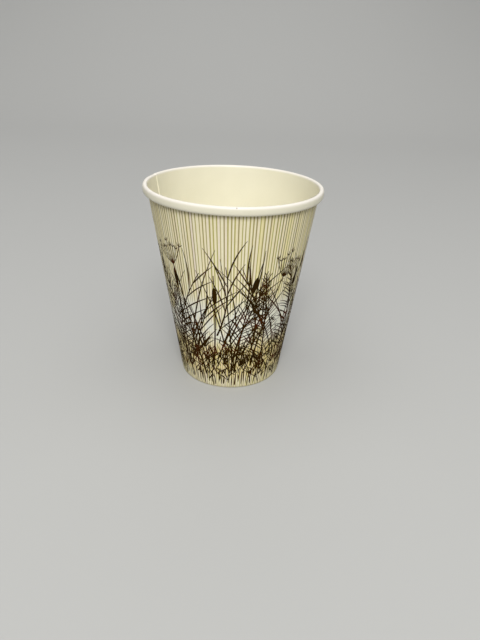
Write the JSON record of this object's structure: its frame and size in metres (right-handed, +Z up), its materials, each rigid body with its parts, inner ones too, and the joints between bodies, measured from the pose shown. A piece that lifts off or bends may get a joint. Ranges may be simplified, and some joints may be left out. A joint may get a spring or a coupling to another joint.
{
  "type": "paper coffee cup",
  "caption": "Empty tapered paper cup with a rolled rim, a lapped side seam and a recessed bottom, printed with fine stripes and brown leafy sprigs.",
  "frame": {"origin": "on the cup's axis, in the plane that its foot stands on", "axes": "+Z up the axis to the rim, +X to the right in the picture, +Y away from the picture's camera"},
  "size_m": [0.076, 0.076, 0.088],
  "materials": {
    "printed_board": "satin coated board, striped and printed outside, plain cream inside",
    "white_board": "satin coated board, plain"
  },
  "bodies": {
    "root": {"sidewall": "printed_board", "bottom": "white_board"}
  },
  "joints": []
}
